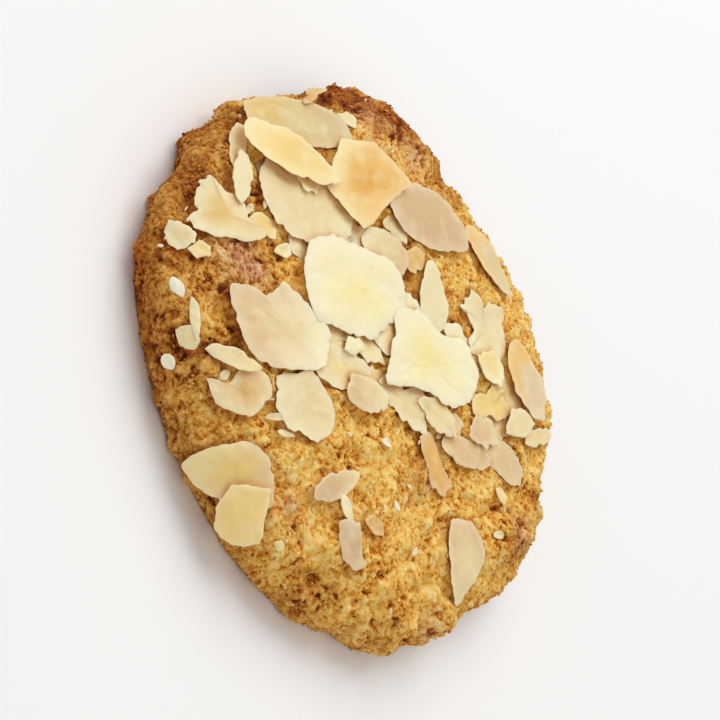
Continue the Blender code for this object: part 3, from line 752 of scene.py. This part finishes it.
def torn_edge(edge, tearing, size, draw):
    """The edge of a flake, finely torn and bitten."""
    edge = edge * size
    ahead = unit(np.roll(edge, -1, axis=0) - np.roll(edge, 1, axis=0))
    shift = draw.uniform(0.0, 100.0)
    tear = []
    for x, y in edge:
        layers = (TEAR_COARSE, TEAR_FINE, TEAR_BITE)
        coarse, fine, bite = (flake_noise(layer, x, y, shift) for layer in layers)
        bite = max(0.0, bite - BITE_START)
        tear.append(TEAR_COARSE[0] * coarse + TEAR_FINE[0] * fine + TEAR_BITE[0] * bite)
    tear = np.array(tear) * tearing * min(1.0, size[1] / TEAR_FULL_WIDTH)
    edge += np.stack([ahead[:, 1], -ahead[:, 0]], axis=1) * tear[:, None]
    return edge / size


def flake_faces(count, below):
    """Triangles of a flake: the top and the underside as rings of count points round a middle one, and
    the rim between them. The underside's points start at number below."""
    rows = []
    last = len(FLAKE_RING_STEPS) - 1
    for ring in range(last + 1):
        for at in range(count):
            here, there = ring * count + at, ring * count + (at + 1) % count
            if ring < last:
                inner, inner_next = here + count, there + count
                rows += [(here, there, inner_next), (here, inner_next, inner)]
                rows += [(below + here, below + inner_next, below + there),
                         (below + here, below + inner, below + inner_next)]
            else:
                rows += [(here, there, below - 1), (below + here, 2 * below - 1, below + there)]
            if ring == 0:
                rows += [(here, below + here, below + there), (here, below + there, there)]
    return np.array(rows)


def flake_tones(piece, share, wave, u, near):
    """Colours of a flake's points: a tone at either end, one in the middle, and a warm painted shade where
    another flake lies on it."""
    end_tone, other_end_tone, middle_tone = (linear(TONES[name]) for name in piece.tones)
    blend = np.clip(0.5 + 0.7 * u + 0.8 * wave, 0.0, 1.0)[:, None]
    tone = end_tone * (1.0 - blend) + other_end_tone * blend
    inner = np.clip(1.25 - 1.5 * share + 1.5 * wave, 0.0, 1.0)[:, None]
    tone = tone * (1.0 - inner) + middle_tone * inner
    # Painted shade where a flake lies over this one.
    near = FLAKE_CONTACT_SHADE_SHARE * near[:, None]
    tone = tone * (1.0 - near) + linear(FLAKE_CONTACT_SHADE_TONE) * near
    return np.concatenate([tone, np.ones((len(tone), 1))], axis=1)


def flake_mesh(piece, above):
    """Points, faces and values of one flake: a thin wavy slice with a torn edge."""
    size, edge, thickness = piece.size, piece.edge, piece.thickness
    hub = edge.mean(axis=0)
    middle = wrap(*piece.spot)
    normal = surface_normal(*piece.spot)
    ahead = np.array((math.cos(piece.turn), math.sin(piece.turn), 0.0))
    along = unit(ahead - normal * ahead.dot(normal))
    across = np.cross(normal, along)
    curl = piece.draw.uniform(0.0, FLAKE_CURL) * (1.0 if thickness == FLAKE_THICKNESS else BIT_CURL_SHARE)
    shift = piece.draw.uniform(0.0, 50.0)

    places = np.concatenate([hub + (edge - hub) * step for step in FLAKE_RING_STEPS] + [hub[None]])
    share = np.concatenate([np.full(len(edge), step) for step in FLAKE_RING_STEPS] + [np.zeros(1)])
    u, v = places[:, 0], places[:, 1]
    forward, aside = size[0] * u, size[1] * v
    over_x, over_y = piece.over(places)
    stiff = middle + forward[:, None] * along + aside[:, None] * across
    outward = unit((1.0 - FLAKE_FOLLOW) * normal + FLAKE_FOLLOW * surface_normal(over_x, over_y))
    base = (1.0 - FLAKE_FOLLOW) * stiff + FLAKE_FOLLOW * wrap(over_x, over_y)
    wave = np.array([SWELL[0] * flake_noise(SWELL, a, b, shift)
                     - CREASE[0] * abs(flake_noise(CREASE, a, b, shift))
                     + RIPPLE[0] * flake_noise(RIPPLE, a, b, shift)
                     for a, b in zip(forward, aside)])
    stand = FLAKE_STAND + piece.layer * LAYER_STEP + 0.5 * (u + 1.0) * piece.lift
    stand = stand + 0.5 * piece.cup * v * v + piece.twist * u * v
    stand = stand + wave + curl * share ** 4
    rounding = thickness * RIM_ROUNDING * share ** 14
    top = base + outward * (stand - rounding)[:, None]
    bottom = base + outward * (stand - thickness * (1.0 - RIM_THINNING * share ** 6) + rounding)[:, None]

    # How near each point is to a flake that lies over it, for the painted shade.
    near = np.zeros(len(u))
    for other in above:
        near = np.maximum(near, closeness(other.beyond(over_x, over_y)))
    values = {
        "tone": flake_tones(piece, share, wave, u, near),
        "lie": np.stack([forward, aside, np.full(len(u), LIE_STEP * piece.index)], axis=1),
        # Nearness to the edge, for the painted light on the rim.
        "rim": share ** 6,
    }
    values = {key: np.concatenate([each, each]) for key, each in values.items()}
    return np.concatenate([top, bottom]), flake_faces(len(edge), len(places)), values


def make_flakes(name, slices, flakes, material):
    """One piece of all the slices in a group; the flakes that lie on them put painted shade on them."""
    points, faces, values, first = [], [], [], 0
    for piece in slices:
        above = [other for other in flakes if other.layer > piece.layer + COVERING_LAYERS]
        places, triangles, of_piece = flake_mesh(piece, above)
        points.append(places)
        faces.append(triangles + first)
        values.append(of_piece)
        first += len(places)
    values = {key: np.concatenate([each[key] for each in values]) for key in values[0]}
    group = new_piece(name, np.concatenate(points), np.concatenate(faces), material, values)
    group.data.set_sharp_from_angle(angle=math.radians(SHARP_ANGLE))
    return group


# ---- materials ----
# The crumb's colours, from the bottom of a crack to the top of a grain, and the levels they stand at. The low
# levels are painted shade in the hollows, the high ones painted light on the rises.
LEVELS = (0.0, 0.2, 0.4, 0.58, 0.76, 1.0)
GOLD = ((124, 56, 8), (188, 105, 20), (228, 159, 58), (241, 193, 92), (246, 209, 121), (250, 224, 156))
BAKED = ((66, 21, 3), (108, 43, 6), (148, 72, 10), (178, 97, 17), (200, 124, 31), (222, 160, 66))
ROSE = ((104, 42, 22), (150, 76, 48), (186, 118, 84), (210, 152, 118), (224, 176, 144), (240, 206, 176))
FIBRE_TONE = (226, 178, 100)
# Pale tone of the random clouds, and painted light on a flake's thin rim.
PALE_CLOUD_AND_RIM_LIGHT_TONE = (252, 242, 206)
FIBRE_STRETCH = (0.22, 1.0, 1.0)
CRUMB_ROUGHNESS, CRUMB_SPECULAR = 0.78, 0.2
ALMOND_ROUGHNESS = 0.5
ALMOND_GLOW, ALMOND_GLOW_REACH = 0.4, 0.7


class Look:
    """A procedural material, and the nodes that feed its shader. Sizes are in millimetres."""

    def __init__(self, name, roughness):
        self.material = bpy.data.materials.new(name)
        self.material.use_nodes = True
        self.tree = self.material.node_tree
        self.shader = self.tree.nodes["Principled BSDF"]
        self.set("Roughness", roughness)

    def feed(self, socket, value):
        """Links an output to a socket, or sets the socket to a number or colour."""
        if isinstance(value, bpy.types.NodeSocket):
            self.tree.links.new(value, socket)
        else:
            socket.default_value = value

    def set(self, name, value):
        self.feed(self.shader.inputs[name], value)

    def node(self, kind, inputs, **settings):
        """A new node with its settings, and with its inputs fed by name or number."""
        node = self.tree.nodes.new("ShaderNode" + kind)
        for key, value in settings.items():
            setattr(node, key, value)
        for slot, value in inputs.items():
            self.feed(node.inputs[slot], value)
        return node

    def attribute(self, name, output="Fac"):
        return self.node("Attribute", {}, attribute_name=name).outputs[output]

    def calculate(self, operation, first, second, clamp=False):
        return self.node("Math", {0: first, 1: second}, operation=operation, use_clamp=clamp).outputs[0]

    def times(self, value, factor, clamp=False):
        return self.calculate("MULTIPLY", value, factor, clamp)

    def swing(self, value, factor, clamp=False):
        """How far a noise is above its middle, times a factor."""
        return self.times(self.calculate("SUBTRACT", value, 0.5), factor, clamp)

    def mix(self, factor, first, second):
        node = self.node("Mix", {"Factor": factor, "A": first, "B": second}, data_type="RGBA")
        return node.outputs["Result"]

    def ramp(self, level, colours):
        """The colour that stands at a level, out of a row of them."""
        node = self.node("ValToRGB", {"Fac": level})
        elements = node.color_ramp.elements
        while len(elements) < len(colours):
            elements.new(0.5)
        for element, place, colour in zip(elements, LEVELS, colours):
            element.position = place
            element.color = opaque(colour)
        return node.outputs["Color"]

    def place(self):
        """Object coordinates in millimetres."""
        place = self.node("TexCoord", {}).outputs["Object"]
        return self.node("VectorMath", {0: place, "Scale": 1.0 / MM}, operation="SCALE").outputs[0]

    def noise(self, vector, size, detail=2.0, roughness=0.5):
        """Noise from 0 to 1 with lumps of a size."""
        inputs = {"Scale": 1.0 / size, "Detail": detail, "Roughness": roughness, "Vector": vector}
        return self.node("TexNoise", inputs).outputs["Fac"]

    def granules(self, vector, size):
        """Cells of about a size: each cell's random number, and the distance to its middle."""
        sway = self.node("TexNoise", {"Scale": 1.0 / size, "Vector": vector}).outputs["Color"]
        swayed = {0: sway, 1: (SWAY * size,) * 3, 2: vector}
        bent = self.node("VectorMath", swayed, operation="MULTIPLY_ADD").outputs[0]
        cells = self.node("TexVoronoi", {"Scale": 1.0 / size, "Vector": bent})
        split = self.node("SeparateColor", {"Color": cells.outputs["Color"]})
        return split.outputs["Red"], cells.outputs["Distance"]

    def bump(self, height, strength, depth):
        inputs = {"Strength": strength, "Distance": depth * MM, "Height": height}
        self.set("Normal", self.node("Bump", inputs).outputs["Normal"])


def crumb_material():
    """Baked crumb: gold, baked brown and blushed, each darker in the hollows as painted shade and lighter on
    the rises as painted light, with grains lighter or darker at random.
    """
    look = Look("baked_crumb", CRUMB_ROUGHNESS)
    place = look.place()
    speck = look.noise(place, 0.5, 4.0, 0.7)
    grain, from_middle = look.granules(place, 0.62)
    brown = look.attribute("brown")
    level = look.attribute("height")
    for layer, share in ((speck, 1.05), (look.noise(place, 1.4), 0.4), (look.attribute("tint"), 0.16),
                         (grain, 0.34)):
        level = look.calculate("ADD", level, look.times(layer, share))
    level = look.calculate("SUBTRACT", level, 1.04)
    level = look.calculate("SUBTRACT", level, look.times(brown, 0.1))
    baked = look.calculate("ADD", look.swing(look.noise(place, 7.0), 0.9), brown, clamp=True)
    gold, dark, rose = (look.ramp(level, colours) for colours in (GOLD, BAKED, ROSE))
    look.set("Base Color", look.mix(look.attribute("blush"), look.mix(baked, gold, dark), rose))
    look.set("Specular IOR Level", CRUMB_SPECULAR)
    look.bump(look.calculate("SUBTRACT", speck, look.times(from_middle, 0.7)), 0.7, 0.28)
    return look.material


def almond_material():
    """Almond: the slice's own tones with fibre streaks and paler clouds, and painted light on its broken rim.
    """
    look = Look("almond", ALMOND_ROUGHNESS)
    lie = look.attribute("lie", "Vector")
    streaked = look.node("VectorMath", {0: lie, 1: FIBRE_STRETCH}, operation="MULTIPLY").outputs[0]
    fibre = look.noise(streaked, 0.55, 3.0, 0.6)
    warm, pale = opaque(FIBRE_TONE), opaque(PALE_CLOUD_AND_RIM_LIGHT_TONE)
    shaded = look.mix(look.swing(fibre, 0.6, clamp=True), look.attribute("tone", "Color"), warm)
    lit = look.mix(look.swing(look.noise(lie, 3.2), 1.2, clamp=True), shaded, pale)
    # Painted light: the rim is mixed toward pale, a bright glow along the thin edge.
    look.set("Base Color", look.mix(look.times(look.attribute("rim"), 0.4, clamp=True), lit, pale))
    look.set("Subsurface Weight", ALMOND_GLOW)
    look.set("Subsurface Radius", (1.0, 1.0, 1.0))
    look.set("Subsurface Scale", ALMOND_GLOW_REACH * MM)
    look.bump(fibre, 0.35, 0.08)
    return look.material


# ---- camera, light and floor ----
CAMERA_RISE = 37.5  # degrees above the floor
CAMERA_ROLL = 71.5  # degrees the picture is turned clockwise
CAMERA_AWAY = 700.0
CAMERA_CLIP = 10.0
SENSOR = 36.0
LENS = 124.25
ZOOM = 1.8
FLOOR = -0.05  # just under the cookie, so the two flat faces don't coincide
FLOOR_HALF = 1500.0
# Each light: name, place and size in metres, and watts.
LIGHTS = (
    ("key", (-0.5, 0.35, 0.85), 1.1, 6.6),
    ("fill", (0.5, -0.5, 0.9), 0.8, 1.3),
)
SKY_COLOUR = (1.0, 0.98, 0.95, 1.0)
SKY_STRENGTH = 0.53


def make_camera():
    rise, roll = math.radians(CAMERA_RISE), math.radians(CAMERA_ROLL)
    back = Vector((0.0, -math.cos(rise), math.sin(rise)))
    level_right = Vector((1.0, 0.0, 0.0))
    level_up = back.cross(level_right)
    right = level_right * math.cos(roll) + level_up * math.sin(roll)
    up = level_up * math.cos(roll) - level_right * math.sin(roll)
    target = Vector((0.0, 0.0, 0.5 * HEIGHT))
    data = bpy.data.cameras.new("camera")
    data.lens = LENS * ZOOM
    data.sensor_width = SENSOR
    data.clip_start = CAMERA_CLIP * MM
    camera = bpy.data.objects.new("camera", data)
    rotation = Matrix((right, up, back)).transposed()
    camera.matrix_world = Matrix.Translation((target + back * CAMERA_AWAY) * MM) @ rotation.to_4x4()
    bpy.context.scene.collection.objects.link(camera)
    bpy.context.scene.camera = camera


def make_light(name, place, size, power):
    data = bpy.data.lights.new(name, "AREA")
    data.shape = "DISK"
    data.size = size
    data.energy = power
    light = bpy.data.objects.new(name, data)
    light.location = place
    light.rotation_euler = (-Vector(place)).to_track_quat("-Z", "Y").to_euler()
    bpy.context.scene.collection.objects.link(light)


def make_stage():
    """A plain pale floor, two soft lights and an even sky."""
    look = Look("floor", 0.9)
    look.set("Base Color", (0.94, 0.94, 0.94, 1.0))
    corners = [(x * FLOOR_HALF, y * FLOOR_HALF, FLOOR) for x, y in ((-1, -1), (1, -1), (1, 1), (-1, 1))]
    floor = new_piece("floor", corners, [(0, 1, 2), (0, 2, 3)], look.material)
    for light in LIGHTS:
        make_light(*light)
    world = bpy.data.worlds.new("studio")
    world.use_nodes = True
    background = world.node_tree.nodes["Background"]
    background.inputs["Color"].default_value = SKY_COLOUR
    background.inputs["Strength"].default_value = SKY_STRENGTH
    bpy.context.scene.world = world
    bpy.context.scene.view_settings.view_transform = "Standard"


def main():
    noise.seed_set(NOISE_SEED)
    crumb, almond = crumb_material(), almond_material()
    groups = {name: make_slices(rows, thickness, seed) for name, rows, thickness, seed in ALMOND_GROUPS}
    large = [piece for group in groups.values() for piece in group]
    shards = make_slices(shard_rows(large), SHARD_THICKNESS, SHARD_FIRST_SEED)
    body, covered, values = make_body(crumb, large + shards)
    pieces = [body, make_grains(body, covered, values, crumb)]
    groups["almond_shards"] = shards
    for name, group in groups.items():
        pieces.append(make_flakes(name, group, groups["almond_flakes"], almond))
    for piece in pieces:
        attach(piece, "root")
        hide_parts("butter_cookie")
    make_stage()
    make_camera()


main()
